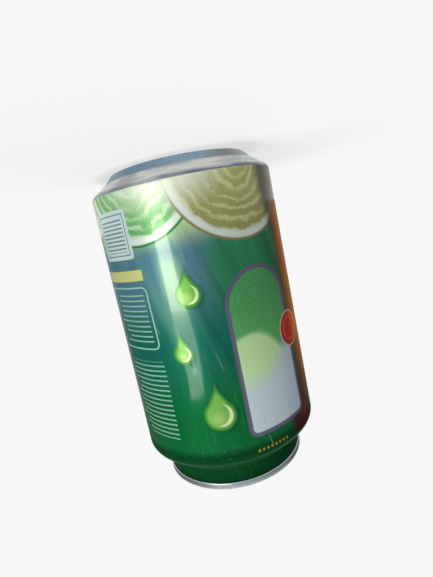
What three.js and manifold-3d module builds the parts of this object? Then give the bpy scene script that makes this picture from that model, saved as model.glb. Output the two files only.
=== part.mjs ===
// An emptied two-piece aluminium drink can, 330 ml size: a drawn and ironed body, an end held on by
// a double seam, and a stay-on tab held by a rivet that is formed out of the end itself.
// Millimetres, +Z up the can's axis towards the end, origin at the middle of the ring it stands on.
import * as THREE from "three";
import { mergeVertices } from "three/addons/utils/BufferGeometryUtils.js";
import Module from "manifold-3d";

const wasm = await Module();
wasm.setup();

const FACETS = 48; // around the can
const FILLET_SHARE = 0.49; // the most of a side that a fillet takes up

// Overall sizes of the can
const CAN_HEIGHT = 115.2;
const BODY_RADIUS = 33.1;
const NECK_PLUG_RADIUS = 26.2; // inside the neck, which the end plugs

// Metal thicknesses
const BASE_GAUGE = 0.27;
const WALL_GAUGE = 0.11;
const NECK_GAUGE = 0.16;
const END_GAUGE = 0.22;
const BASE_GAUGE_TOP = 8; // the ironed wall thins from here
const WALL_GAUGE_BOTTOM = 16; // to here
const WALL_GAUGE_DROP = 7; // and thickens over this height under the shoulder

// Base: dome, standing nose, steep ring and chamfer
const DOME_HEIGHT = 10.2;
const DOME_SPHERE = 45;
const DOME_EDGE_RADIUS = 21.2;
const NOSE_INNER_RADIUS = 22.6;
const NOSE_OUTER_RADIUS = 25.0;
const NOSE_INNER_FILLET = 1.3;
const NOSE_OUTER_FILLET = 1.6;
const DOME_EDGE_FILLET = 1.2;
const DOME_EDGE_DROP = 2; // slope under the dome's edge, down to the upright side of the nose
const RING_RADIUS = 27.4;
const RING_HEIGHT = 2.8;
const RING_FILLET = 1.2;
const CHAMFER_HEIGHT = 6.8; // where the chamfer would meet the wall with no fillet
const CHAMFER_FILLET = 2.7;

// Shoulder: a convex arc, a cone and a concave arc down to the neck
const SHOULDER_ANGLE = 55.5; // of the cone from the axis
const SHOULDER_ARC = 4.6;
const NECK_ARC = 3.0;
const NECK_LENGTH = 4.7; // straight, from the concave arc to under the seam

// Double seam: five layers of metal with a film of sealant between them
const SEAM_HEIGHT = 2.4;
const SEALANT = 0.05;
const HOOK_END_GAP = 0.15;
const COVER_HOOK_GAP = 0.12;
const SEAM_TOP_FILLET = 0.4;
const SEAM_FOOT_FILLET = 0.3;
const FLANGE_FILLET = 0.12;

// End panel inside the seam
const PANEL_DEPTH = 4.3; // under the top of the seam
const COUNTERSINK_DEPTH = 6.6;
const CHUCK_WALL_LEAN = 1.58; // from the seam's foot in to the countersink
const COUNTERSINK_WIDTH = 1.4;
const PANEL_FILLET = 0.6;
const COUNTERSINK_FILLET = 0.5;
const DEBOSS_DEPTH = 0.45;
const DEBOSS_EDGE = 1.2; // width of the deboss's sloping edge
const DEBOSS_MOUTH_BORDER = 2.4; // beside the mouth
const DEBOSS_TAB_BORDER = 1.7; // beside the tab
const DEBOSS_MOUTH_MARGIN = 1.15; // to the panel's edge
const DEBOSS_HEEL_MARGIN = 2.15;
const WELL_DEPTH = 1.4; // finger well under the tab's heel, from the panel's top
const WELL_EDGE = 1.8;
const WELL_RADIUS = 4.7;
const WELL_MARGIN = 1.05; // to the panel's edge

// Mouth and its torn panel, which is still joined along a hinge line and hangs inside
const MOUTH_WIDTH = 21.6;
const MOUTH_TO_RIVET = 4.0; // from the mouth's near edge to the rivet's axis
const MOUTH_MARGIN = 3.75; // from the mouth's far edge to the panel's edge
const HINGE_REACH = 7.4; // from the mouth's middle to the hinge line
const HINGE_TURN = -35; // of the hinge line round the mouth, towards the tab
const FLAP_ANGLE = 104;
const SCORE_LOSS = 0.12; // the torn panel is this much smaller all round

// Rivet, raised out of the panel and flattened over the tab
const RIVET_STEM_RADIUS = 1.7;
const RIVET_HEAD_RADIUS = 2.75;
const RIVET_HEAD_THICKNESS = 0.34;
const RIVET_CLEARANCE = 0.1;

// Stay-on tab
const TAB_HEEL_ROOM = 3.95; // from the heel to the panel's edge
const TAB_NOSE_REACH = 6.2; // from the rivet to the tip of the nose
const TAB_WIDTH = 15.8;
const TAB_WAIST = 13.6;
const TAB_NOSE_CORNER = 1.5; // where the nose's curve turns up into the waist
const TAB_FLARE_START = 3; // from the rivet, where the waist begins to widen
const TAB_FLARE_END = 4.5;
const TAB_WIDEST = 9; // from the rivet
const TAB_HEEL_CORNER = 3.4; // from the heel
const TAB_END_ROUNDNESS = 0.6; // of the nose's and heel's curves, as a share of half the width
const TAB_RIM_HEIGHT = 1.25;
const TAB_RIM_WIDTH = 1.5;
const TAB_BEVEL = 0.4;
const TAB_WEB = 0.34;
const TAB_HOLE_LENGTH = 7.6;
const TAB_HOLE_WIDTH = 9.4;
const TAB_HOLE_RIM = 0.9;
const TAB_SLOT_RADIUS = 4.3;
const TAB_SLOT_WIDTH = 0.9;
const TAB_SLOT_OPEN_HALF = 62; // degrees each side of the nose that stay joined

const END_TURN = 150; // the end's turn about the can's axis, degrees

// Damage: shallow dents pressed into the wall, and the neck and seam pressed in on one side
const DENTS = [
  { angle: -71, height: 60, depth: 0.55, around: 9, along: 13 },
  { angle: -58, height: 70, depth: 0.3, around: 6, along: 8 },
  { angle: -118, height: 33, depth: 0.25, around: 10, along: 12 },
];
const RIM_PRESS = { angle: -172, depth: 0.75, spread: 42, bottom: 101, top: 108, inner: 20, outer: 25 };

const rad = THREE.MathUtils.degToRad;
const smooth = THREE.MathUtils.smoothstep;

// Sizes that follow from those above
const neckRadius = NECK_PLUG_RADIUS + NECK_GAUGE;
const chuckRadius = NECK_PLUG_RADIUS - SEALANT - END_GAUGE;
const coverHookRadius = neckRadius + SEALANT;
const bodyHookRadius = coverHookRadius + END_GAUGE + SEALANT;
const seamRadius = bodyHookRadius + NECK_GAUGE + SEALANT + END_GAUGE;
const seamFoot = CAN_HEIGHT - SEAM_HEIGHT;
const flangeUnderside = CAN_HEIGHT - END_GAUGE - SEALANT - NECK_GAUGE;
const panelTop = CAN_HEIGHT - PANEL_DEPTH;
const debossTop = panelTop - DEBOSS_DEPTH;
const chuckWallFoot = chuckRadius - CHUCK_WALL_LEAN;
const panelRadius = chuckWallFoot - COUNTERSINK_WIDTH;
const mouthLength = panelRadius - MOUTH_MARGIN - MOUTH_TO_RIVET;
const mouthY = -MOUTH_TO_RIVET - mouthLength / 2;
const tabHeel = panelRadius - TAB_HEEL_ROOM;
const hingeHeight = debossTop - END_GAUGE / 2;
const tabBottom = debossTop + RIVET_CLEARANCE;

/** The tangent length and the arc of a fillet between the directions towards two neighbours. */
function filletArc(before, corner, after, radius, steps) {
  const inward = new THREE.Vector2().subVectors(before, corner).normalize();
  const outward = new THREE.Vector2().subVectors(after, corner).normalize();
  const half = Math.acos(THREE.MathUtils.clamp(inward.dot(outward), -1, 1)) / 2;
  const room = FILLET_SHARE * Math.min(before.distanceTo(corner), after.distanceTo(corner));
  const reach = Math.min(radius / Math.tan(half), room);
  const arcRadius = reach * Math.tan(half);
  const toCentre = inward.clone().add(outward).normalize().multiplyScalar(arcRadius / Math.sin(half));
  const centre = corner.clone().add(toCentre);
  const first = corner.clone().addScaledVector(inward, reach).sub(centre);
  const turn = Math.PI - 2 * half;
  const sense = Math.sign(first.cross(corner.clone().addScaledVector(outward, reach).sub(centre)));
  return Array.from({ length: steps + 1 }, (_, i) =>
    first.clone().rotateAround(new THREE.Vector2(), (sense * turn * i) / steps).add(centre),
  );
}

/** A path through corners given as [r, z, fillet radius, steps]; the last two may be left out. */
function roundedPath(corners) {
  const points = corners.map(([r, z]) => new THREE.Vector2(r, z));
  return corners.flatMap(([, , radius = 0, steps = 3], i) =>
    radius > 0 ? filletArc(points[i - 1], points[i], points[i + 1], radius, steps) : [points[i]],
  );
}

/** The path moved sideways by gauge(point), to the left of its direction if side is 1. */
function offsetPath(path, gauge, side) {
  return path.map((point, i) => {
    const before = path[Math.max(i - 1, 0)];
    const after = path[Math.min(i + 1, path.length - 1)];
    const normals = [
      [before, point],
      [point, after],
    ]
      .filter(([a, b]) => a !== b)
      .map(([a, b]) => new THREE.Vector2(a.y - b.y, b.x - a.x).normalize());
    const sum = normals.reduce((total, n) => total.add(n), new THREE.Vector2());
    const mitre = normals.length / sum.lengthSq();
    const moved = point.clone().addScaledVector(sum, mitre * gauge(point) * side);
    return point.x === 0 ? moved.setX(0) : moved;
  });
}

/** A solid of revolution of a sheet: its skin, the other skin a gauge away, and the rim between. */
function spunSheet(skin, gauge, side) {
  const other = offsetPath(skin, gauge, side);
  const profile = side > 0 ? [...skin, ...other.reverse()] : [...other, ...skin.slice().reverse()];
  const geometry = new THREE.LatheGeometry(profile, FACETS);
  const index = geometry.index.array;
  const rows = profile.length - 1;
  for (let quad = 0; quad < FACETS * rows; quad++) {
    // Both skins get the same diagonal, so that a dent leaves the metal between them as thick.
    if (quad % rows < skin.length) continue;
    const at = 6 * quad;
    const [a, b, d, c] = [index[at], index[at + 1], index[at + 2], index[at + 3]];
    index.set([a, b, c, a, c, d], at);
  }
  return geometry.rotateX(Math.PI / 2);
}

/** How far the metal at a point is pressed towards the axis. */
function pressedIn(radius, angle, height) {
  const apart = (degrees) => {
    const turn = angle - rad(degrees);
    return Math.atan2(Math.sin(turn), Math.cos(turn));
  };
  const dents = DENTS.reduce((sum, dent) => {
    const across = (BODY_RADIUS * apart(dent.angle)) / dent.around;
    const up = (height - dent.height) / dent.along;
    return sum + dent.depth * Math.exp(-across * across - up * up);
  }, 0);
  const press = RIM_PRESS;
  const share = apart(press.angle) / rad(press.spread);
  const rim = press.depth * Math.exp(-share * share);
  return dents + rim * smooth(height, press.bottom, press.top) * smooth(radius, press.inner, press.outer);
}

/** Moves each vertex of a geometry by move(position), which changes the vector it is given. */
function displaced(geometry, move) {
  const positions = geometry.getAttribute("position");
  const point = new THREE.Vector3();
  for (let i = 0; i < positions.count; i++) {
    move(point.fromBufferAttribute(positions, i));
    positions.setXYZ(i, point.x, point.y, point.z);
  }
  return geometry;
}

function press(point) {
  const radius = Math.hypot(point.x, point.y);
  if (radius < 1) return;
  const share = 1 - pressedIn(radius, Math.atan2(point.y, point.x), point.z) / radius;
  point.x *= share;
  point.y *= share;
}

/** A closed three.js geometry as a manifold-3d solid. */
function solid(geometry) {
  const bare = geometry.index ? geometry.toNonIndexed() : geometry.clone();
  bare.deleteAttribute("normal");
  bare.deleteAttribute("uv");
  const merged = mergeVertices(bare, 1e-4);
  return new wasm.Manifold(
    new wasm.Mesh({
      numProp: 3,
      vertProperties: merged.getAttribute("position").array,
      triVerts: new Uint32Array(merged.index.array),
    }),
  );
}

/** A manifold-3d solid as a three.js geometry. */
function geometryOf(made) {
  const mesh = made.getMesh();
  const geometry = new THREE.BufferGeometry();
  geometry.setAttribute("position", new THREE.BufferAttribute(mesh.vertProperties, 3));
  geometry.setIndex(new THREE.BufferAttribute(mesh.triVerts, 1));
  return geometry;
}

/** A shape pushed up from a height, with an optional bevel that stays inside its thickness. */
function slab(shape, bottom, height, bevel = 0, curveSegments = 8) {
  const geometry = new THREE.ExtrudeGeometry(shape, {
    depth: height - 2 * bevel,
    bevelEnabled: bevel > 0,
    bevelThickness: bevel,
    bevelSize: bevel,
    bevelOffset: -bevel,
    bevelSegments: 2,
    curveSegments,
  });
  return solid(geometry.translate(0, 0, bottom + bevel));
}

/** The wall's gauge at a point of the body. */
function bodyGauge(point) {
  const shoulderFoot = shoulder().wallTop;
  const thinning = smooth(point.y, BASE_GAUGE_TOP, WALL_GAUGE_BOTTOM);
  const thickening = smooth(point.y, shoulderFoot - WALL_GAUGE_DROP, shoulderFoot);
  const lower = THREE.MathUtils.lerp(BASE_GAUGE, WALL_GAUGE, thinning);
  return THREE.MathUtils.lerp(lower, NECK_GAUGE, thickening);
}

/** The shoulder's two corners, and the height at which the straight wall ends. */
function shoulder() {
  const angle = rad(SHOULDER_ANGLE);
  const half = Math.tan(angle / 2);
  const neckCorner = seamFoot - NECK_LENGTH - NECK_ARC * half;
  const wallCorner = neckCorner - (BODY_RADIUS - neckRadius) / Math.tan(angle);
  return { neckCorner, wallCorner, wallTop: wallCorner - SHOULDER_ARC * half };
}

/** The body's outside skin, from the middle of the dome to the tip of its hook in the seam. */
function bodySkin() {
  const domeRings = 4;
  const wallRings = 9;
  const domeHeightAt = (r) => DOME_HEIGHT - DOME_SPHERE + Math.sqrt(DOME_SPHERE ** 2 - r ** 2);
  const dome = Array.from({ length: domeRings }, (_, i) => {
    const r = (DOME_EDGE_RADIUS * i) / domeRings;
    return [r, domeHeightAt(r)];
  });
  const { neckCorner, wallCorner, wallTop } = shoulder();
  const wallBottom = CHAMFER_HEIGHT + CHAMFER_FILLET;
  const wall = Array.from({ length: wallRings }, (_, i) => [
    BODY_RADIUS,
    THREE.MathUtils.lerp(wallBottom, wallTop, (i + 0.5) / wallRings),
  ]);
  return roundedPath([
    ...dome,
    [DOME_EDGE_RADIUS, domeHeightAt(DOME_EDGE_RADIUS), DOME_EDGE_FILLET, 2],
    [NOSE_INNER_RADIUS, domeHeightAt(DOME_EDGE_RADIUS) - DOME_EDGE_DROP],
    [NOSE_INNER_RADIUS, 0, NOSE_INNER_FILLET, 2],
    [NOSE_OUTER_RADIUS, 0, NOSE_OUTER_FILLET, 3],
    [RING_RADIUS, RING_HEIGHT, RING_FILLET, 1],
    [BODY_RADIUS, CHAMFER_HEIGHT, CHAMFER_FILLET, 3],
    ...wall,
    [BODY_RADIUS, wallCorner, SHOULDER_ARC, 4],
    [neckRadius, neckCorner, NECK_ARC, 3],
    [neckRadius, flangeUnderside, FLANGE_FILLET, 1],
    [bodyHookRadius, flangeUnderside, FLANGE_FILLET, 1],
    [bodyHookRadius, seamFoot + END_GAUGE + HOOK_END_GAP],
  ]);
}

/** The end's upper skin, from the middle of the panel round the seam to the tip of its hook. */
function endSkin() {
  const countersink = CAN_HEIGHT - COUNTERSINK_DEPTH + END_GAUGE;
  return roundedPath([
    [0, panelTop],
    [panelRadius, panelTop, PANEL_FILLET, 2],
    [panelRadius, countersink, COUNTERSINK_FILLET, 2],
    [chuckWallFoot, countersink, COUNTERSINK_FILLET, 2],
    [chuckRadius, seamFoot - END_GAUGE],
    [chuckRadius, CAN_HEIGHT, SEAM_TOP_FILLET, 2],
    [seamRadius, CAN_HEIGHT, SEAM_TOP_FILLET, 3],
    [seamRadius, seamFoot, SEAM_FOOT_FILLET, 2],
    [coverHookRadius, seamFoot, SEAM_FOOT_FILLET, 2],
    [coverHookRadius, flangeUnderside - COVER_HOOK_GAP],
  ]);
}

/** The deboss's outline: an arc round the mouth and one round the tab's heel, and their tangents. */
function debossShape() {
  const mouthRadius = MOUTH_WIDTH / 2 + DEBOSS_MOUTH_BORDER;
  const heelRadius = TAB_WIDTH / 2 + DEBOSS_TAB_BORDER;
  const low = -(panelRadius - DEBOSS_MOUTH_MARGIN - mouthRadius);
  const high = panelRadius - DEBOSS_HEEL_MARGIN - heelRadius;
  const taper = Math.asin((mouthRadius - heelRadius) / (high - low));
  const shape = new THREE.Shape();
  shape.absarc(0, high, heelRadius, taper, Math.PI - taper, false);
  shape.absarc(0, low, mouthRadius, Math.PI - taper, 2 * Math.PI + taper, false);
  return shape;
}

/** An upright plug that narrows over its lowest stretch, by a sloping edge. */
function plug(shape, bottom, slopeHeight, slopeWidth, straight) {
  const geometry = new THREE.ExtrudeGeometry(shape, {
    depth: straight,
    bevelThickness: slopeHeight,
    bevelSize: slopeWidth,
    bevelOffset: -slopeWidth,
    bevelSegments: 1,
    curveSegments: 14,
  });
  return solid(geometry.translate(0, 0, bottom + slopeHeight));
}

/** The panel with the deboss and the finger well pressed down into it. */
function pressedPanel(sheet) {
  const well = ovalShape(2 * WELL_RADIUS, 2 * WELL_RADIUS, panelRadius - WELL_MARGIN - WELL_RADIUS);
  const pressings = [
    { shape: debossShape(), depth: DEBOSS_DEPTH, edge: DEBOSS_EDGE },
    { shape: well, depth: WELL_DEPTH, edge: WELL_EDGE },
  ];
  const filled = pressings.reduce(
    (made, { shape, depth, edge }) =>
      made.add(plug(shape, panelTop - depth - END_GAUGE, depth, edge, END_GAUGE / 2)),
    sheet,
  );
  return pressings.reduce(
    (made, { shape, depth, edge }) => made.subtract(plug(shape, panelTop - depth, depth, edge, PANEL_DEPTH)),
    filled,
  );
}

function mouthShape(loss) {
  return ovalShape(MOUTH_WIDTH - 2 * loss, mouthLength - 2 * loss, mouthY);
}

/** A solid moved to the hinge's frame, with the hinge line along Y and the mouth on the +X side. */
function toHinge(made) {
  return made
    .translate([0, -mouthY, 0])
    .rotate([0, 0, -HINGE_TURN])
    .translate([HINGE_REACH, 0, -hingeHeight]);
}

function fromHinge(made) {
  return made
    .translate([-HINGE_REACH, 0, hingeHeight])
    .rotate([0, 0, HINGE_TURN])
    .translate([0, mouthY, 0]);
}

/** What lies on the mouth's side of the hinge line, in the hinge's frame. */
function openSide() {
  const box = new THREE.BoxGeometry(2 * MOUTH_WIDTH, 2 * MOUTH_WIDTH, 2 * COUNTERSINK_DEPTH);
  return solid(box.translate(MOUTH_WIDTH, 0, 0));
}

/** The torn panel, turned down about the hinge line, with the bend that joins it to the end. */
function tornPanel() {
  const flat = slab(mouthShape(SCORE_LOSS), debossTop - END_GAUGE, END_GAUGE, 0, 10);
  const column = slab(mouthShape(SCORE_LOSS), hingeHeight - END_GAUGE, 2 * END_GAUGE, 0, 10);
  const bend = new THREE.CylinderGeometry(END_GAUGE / 2, END_GAUGE / 2, 2 * MOUTH_WIDTH, 12);
  const turned = toHinge(flat).intersect(openSide()).rotate([0, FLAP_ANGLE, 0]);
  return fromHinge(turned.add(solid(bend).intersect(toHinge(column))));
}

/** The rivet: a stem and a flattened head, hollow from below as it is pushed out of the panel. */
function rivet() {
  const headBottom = tabBottom + TAB_WEB + RIVET_CLEARANCE;
  const headTop = headBottom + RIVET_HEAD_THICKNESS;
  const bore = RIVET_STEM_RADIUS - END_GAUGE;
  const foot = debossTop - END_GAUGE;
  const profile = [
    [0, headTop - END_GAUGE],
    [bore, headTop - END_GAUGE],
    [bore, foot],
    [RIVET_STEM_RADIUS, foot],
    [RIVET_STEM_RADIUS, headBottom],
    [RIVET_HEAD_RADIUS - RIVET_CLEARANCE, headBottom],
    [RIVET_HEAD_RADIUS, headBottom + RIVET_HEAD_THICKNESS / 2],
    [RIVET_HEAD_RADIUS - END_GAUGE, headTop],
    [0, headTop],
  ];
  const points = profile.map(([r, z]) => new THREE.Vector2(r, z));
  return solid(new THREE.LatheGeometry(points, FACETS / 2).rotateX(Math.PI / 2));
}

function endSolid() {
  const mouth = toHinge(slab(mouthShape(0), debossTop - PANEL_DEPTH / 2, PANEL_DEPTH, 0, 10));
  const bore = RIVET_STEM_RADIUS - END_GAUGE;
  const rivetHole = new THREE.CylinderGeometry(bore, bore, 4 * END_GAUGE, FACETS / 2);
  return pressedPanel(solid(spunSheet(endSkin(), () => END_GAUGE, -1)))
    .subtract(fromHinge(mouth.intersect(openSide())))
    .subtract(solid(rivetHole.rotateX(Math.PI / 2).translate(0, 0, debossTop)))
    .add(tornPanel())
    .add(rivet());
}

/** The tab's outline drawn in by a margin, with its nose towards -Y and the rivet at the origin. */
function tabShape(margin) {
  const nose = -TAB_NOSE_REACH + margin;
  const heel = tabHeel - margin;
  const half = TAB_WIDTH / 2 - margin;
  const waist = TAB_WAIST / 2 - margin;
  const shape = new THREE.Shape();
  const noseCorner = nose + TAB_NOSE_CORNER;
  const heelCorner = heel - TAB_HEEL_CORNER;
  const noseEase = waist * TAB_END_ROUNDNESS;
  const heelEase = half * TAB_END_ROUNDNESS;
  shape.moveTo(0, nose);
  shape.bezierCurveTo(noseEase, nose, waist, noseCorner, waist, 0);
  shape.bezierCurveTo(waist, TAB_FLARE_START, half, TAB_FLARE_END, half, TAB_WIDEST);
  shape.bezierCurveTo(half, heelCorner, heelEase, heel, 0, heel);
  shape.bezierCurveTo(-heelEase, heel, -half, heelCorner, -half, TAB_WIDEST);
  shape.bezierCurveTo(-half, TAB_FLARE_END, -waist, TAB_FLARE_START, -waist, 0);
  shape.bezierCurveTo(-waist, noseCorner, -noseEase, nose, 0, nose);
  return shape;
}

function ovalShape(width, length, y) {
  const shape = new THREE.Shape();
  shape.absellipse(0, y, width / 2, length / 2, 0, 2 * Math.PI);
  return shape;
}

/** The slot that frees the rivet's tongue on the heel's side and at its flanks. */
function tongueSlot() {
  const start = rad(-90 + TAB_SLOT_OPEN_HALF);
  const finish = rad(270 - TAB_SLOT_OPEN_HALF);
  const shape = new THREE.Shape();
  shape.absarc(0, 0, TAB_SLOT_RADIUS + TAB_SLOT_WIDTH / 2, start, finish, false);
  shape.absarc(0, 0, TAB_SLOT_RADIUS - TAB_SLOT_WIDTH / 2, finish, start, true);
  return shape;
}

function tabSolid() {
  const holeY = tabHeel - TAB_RIM_WIDTH - TAB_HOLE_LENGTH / 2;
  const hole = (grown) => ovalShape(TAB_HOLE_WIDTH + 2 * grown, TAB_HOLE_LENGTH + 2 * grown, holeY);
  const through = (shape) => slab(shape, tabBottom - 1, TAB_RIM_HEIGHT + 2);
  const inside = tabShape(TAB_RIM_WIDTH);
  const holeRim = slab(hole(TAB_HOLE_RIM), tabBottom - 1, TAB_RIM_HEIGHT + 2);
  const pocket = slab(inside, tabBottom + TAB_WEB, TAB_RIM_HEIGHT).subtract(holeRim);
  const rivetHole = ovalShape(
    2 * (RIVET_STEM_RADIUS + RIVET_CLEARANCE),
    2 * (RIVET_STEM_RADIUS + RIVET_CLEARANCE),
    0,
  );
  return slab(tabShape(0), tabBottom, TAB_RIM_HEIGHT, TAB_BEVEL)
    .subtract(pocket)
    .subtract(through(hole(0)))
    .subtract(through(rivetHole))
    .subtract(through(tongueSlot()));
}

const printedMetal = new THREE.MeshStandardMaterial({ color: 0x0c7a45, roughness: 0.28, metalness: 0.6 });
const bareMetal = new THREE.MeshStandardMaterial({ color: 0xc6c9cc, roughness: 0.3, metalness: 1 });

function piece(name, geometry, material) {
  const mesh = new THREE.Mesh(geometry, material);
  mesh.name = name;
  return mesh;
}

/** A solid of the end's own frame, turned to its place on the can and pressed with the rim. */
function onCan(made) {
  return displaced(geometryOf(made.rotate([0, 0, END_TURN])), press);
}

const can = new THREE.Group();
can.add(piece("can_body", displaced(spunSheet(bodySkin(), bodyGauge, 1), press), printedMetal));
can.add(piece("can_end", onCan(endSolid()), bareMetal));
can.add(piece("pull_tab", onCan(tabSolid()), bareMetal));

export default can;
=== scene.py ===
import math

import bmesh
import bpy
import numpy as np
from mathutils import Matrix, Vector
from mathutils.geometry import delaunay_2d_cdt


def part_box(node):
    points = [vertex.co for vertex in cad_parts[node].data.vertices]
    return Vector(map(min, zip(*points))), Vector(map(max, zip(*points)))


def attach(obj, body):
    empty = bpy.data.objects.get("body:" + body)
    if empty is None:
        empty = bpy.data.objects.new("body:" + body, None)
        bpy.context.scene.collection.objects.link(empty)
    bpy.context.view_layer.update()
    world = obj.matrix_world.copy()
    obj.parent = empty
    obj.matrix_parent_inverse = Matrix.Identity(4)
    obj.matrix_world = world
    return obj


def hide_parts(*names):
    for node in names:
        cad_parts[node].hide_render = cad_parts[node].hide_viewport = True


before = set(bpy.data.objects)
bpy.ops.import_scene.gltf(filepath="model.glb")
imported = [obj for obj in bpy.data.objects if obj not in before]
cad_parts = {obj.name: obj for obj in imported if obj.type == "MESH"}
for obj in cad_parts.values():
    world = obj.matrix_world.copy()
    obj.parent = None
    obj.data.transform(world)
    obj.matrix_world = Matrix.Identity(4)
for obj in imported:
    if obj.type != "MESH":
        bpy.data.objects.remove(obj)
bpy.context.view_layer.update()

MM = 0.001

# The picture in pixels, and its camera, solved from the can's outline
IMAGE_WIDTH = 433
IMAGE_HEIGHT = 577
SENSOR_HEIGHT = 36.0
FOCAL_LENGTH = 24.19
OPTICAL_AXIS_X = 214.35
OPTICAL_AXIS_Y = 282.14
CAMERA_DISTANCE = 150.52 * MM
CAMERA_HEIGHT = 22.43 * MM
CAMERA_YAW = 0.0319
CAMERA_PITCH = -0.1541
CAMERA_ROLL = 2.9369
CLIP_START = 5 * MM

# Fineness of the meshes
SEGMENTS = 256
WALL_ROWS = 80
WALL_ROW_MARGIN = 0.6
RIVET_SEGMENTS = 48
END_SPACING = 0.42
TAB_SPACING = 0.32
WELD_DISTANCE = 0.004
RING_CLEARANCE = 0.02
SHARP_ANGLE = math.radians(35)
FILLET_SHARE = 0.49

# Sizes of the can in millimetres, the first two from the frame
BODY_RADIUS = (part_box("can_body")[1].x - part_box("can_body")[0].x) / 2 / MM
CAN_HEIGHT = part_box("can_end")[1].z / MM
NECK_PLUG_RADIUS = 26.2

# Thicknesses of the sheet, and the heights over which the ironed wall thins and thickens
BASE_GAUGE = 0.27
WALL_GAUGE = 0.11
NECK_GAUGE = 0.16
END_GAUGE = 0.22
BASE_GAUGE_TOP = 8
WALL_GAUGE_BOTTOM = 16
WALL_GAUGE_DROP = 7

# Base: dome, standing nose, steep ring and chamfer
DOME_HEIGHT = 10.2
DOME_SPHERE = 45
DOME_EDGE_RADIUS = 21.2
DOME_EDGE_DROP = 2
DOME_EDGE_FILLET = 1.2
NOSE_INNER_RADIUS = 22.6
NOSE_INNER_FILLET = 1.3
NOSE_OUTER_RADIUS = 25.0
NOSE_OUTER_FILLET = 1.6
RING_RADIUS = 27.4
RING_HEIGHT = 2.8
RING_FILLET = 1.2
CHAMFER_HEIGHT = 6.8
CHAMFER_FILLET = 2.7

# Shoulder, neck and double seam
SHOULDER_ANGLE = math.radians(55.5)
SHOULDER_ARC = 4.6
NECK_ARC = 3.0
NECK_LENGTH = 4.7
SEAM_HEIGHT = 2.4
SEALANT = 0.05
HOOK_START = 2
HOOK_END_GAP = 0.15
COVER_HOOK_GAP = 0.12
SEAM_TOP_FILLET = 0.45
SEAM_FOOT_FILLET = 0.3
FLANGE_FILLET = 0.12

# End: panel, countersink, pressed field and finger well, with the rivet's axis at 0, 0
PANEL_DEPTH = 4.3
PANEL_FILLET = 0.6
COUNTERSINK_DEPTH = 6.6
COUNTERSINK_WIDTH = 1.4
COUNTERSINK_FILLET = 0.5
CHUCK_WALL_LEAN = 1.58
CHUCK_FILLET = 0.8
PLATE_RADIUS = 22.0
DEBOSS_DEPTH = 0.45
DEBOSS_EDGE = 1.2
DEBOSS_MOUTH_ARC = (-8.6, 13.2)
DEBOSS_HEEL_ARC = (11.2, 9.6)
WELL_DEPTH = 1.4
WELL_EDGE = 1.8
WELL_CENTRE = 17.2
WELL_RADIUS = 4.7
END_TURN = math.radians(150)

# Mouth, the torn panel under it, and the bead pressed round that panel
MOUTH_WIDTH = 21.6
MOUTH_LENGTH = 15.2
MOUTH_Y = -11.6
HINGE_REACH = 7.4
HINGE_TURN = math.radians(-35)
FLAP_ANGLE = math.radians(104)
BEND_RADIUS = 0.35
BEAD_INSET = 2.1
BEAD_WIDTH = 1.5
BEAD_HEIGHT = 0.3
BEAD_START = (1, 3)

# Rivet
RIVET_STEM_RADIUS = 1.7
RIVET_HEAD_RADIUS = 2.75
RIVET_HEAD_THICKNESS = 0.34
RIVET_CLEARANCE = 0.1
RIVET_FOOT = 0.05
DIMPLE_RADIUS = 1.5
DIMPLE_FLOOR_RADIUS = 1.3
DIMPLE_DEPTH = 0.05

# Tab, with its curled rims
TAB_HEEL = 19.0
TAB_NOSE = -6.2
TAB_HALF_WIDTH = 7.9
TAB_HALF_WAIST = 6.8
TAB_NOSE_CORNER = 1.5
TAB_FLARE_START = 3
TAB_FLARE_END = 4.5
TAB_WIDEST = 9
TAB_HEEL_CORNER = 3.4
TAB_END_ROUNDNESS = 0.6
TAB_RIM_HEIGHT = 1.25
TAB_RIM_WIDTH = 1.5
TAB_WEB = 0.34
TAB_HOLE_CENTRE = 13.7
TAB_HOLE_LENGTH = 7.6
TAB_HOLE_WIDTH = 9.4
TAB_HOLE_RIM = 0.9
TAB_SLOT_RADIUS = 4.3
TAB_SLOT_WIDTH = 0.9
TAB_SLOT_OPEN_HALF = math.radians(62)
TAB_RIM_ROWS = (0.03, 0.1, 0.2, 0.32, 0.5, 0.62, 0.74, 0.86, 1)
TAB_HOLE_ROWS = (0.03, 0.1, 0.2, 0.32, 0.5, 0.66, 0.82, 1)

NECK_RADIUS = NECK_PLUG_RADIUS + NECK_GAUGE
SEAM_FOOT = CAN_HEIGHT - SEAM_HEIGHT
BODY_HOOK_RADIUS = NECK_RADIUS + 2 * SEALANT + END_GAUGE
FLANGE_UNDERSIDE = CAN_HEIGHT - END_GAUGE - SEALANT - NECK_GAUGE
CHUCK_RADIUS = NECK_PLUG_RADIUS - SEALANT - END_GAUGE
COVER_HOOK_RADIUS = NECK_RADIUS + SEALANT
SEAM_RADIUS = BODY_HOOK_RADIUS + NECK_GAUGE + SEALANT + END_GAUGE
CHUCK_WALL_FOOT = CHUCK_RADIUS - CHUCK_WALL_LEAN
PANEL_RADIUS = CHUCK_WALL_FOOT - COUNTERSINK_WIDTH
PANEL_TOP = CAN_HEIGHT - PANEL_DEPTH
DEBOSS_TOP = PANEL_TOP - DEBOSS_DEPTH
TAB_BOTTOM = DEBOSS_TOP + RIVET_CLEARANCE

# Dents as (angle in degrees, height, depth, reach around, reach along)
DENTS = (
    (-71, 60, 0.55, 9, 13),
    (-58, 70, 0.3, 6, 8),
    (-118, 33, 0.25, 10, 12),
)

# The ding is a small wedge that widens upwards from its tip; the rim is pressed in on one side
DING_ANGLE = -75.5
DING_TIP = 58
DING_LENGTH = 12
DING_HALF_WIDTH = 2.2
DING_DEPTH = 0.22
RIM_ANGLE = -172
RIM_DEPTH = 0.75
RIM_SPREAD = 42
RIM_HEIGHTS = (101, 108)
RIM_RADII = (20, 25)

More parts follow.
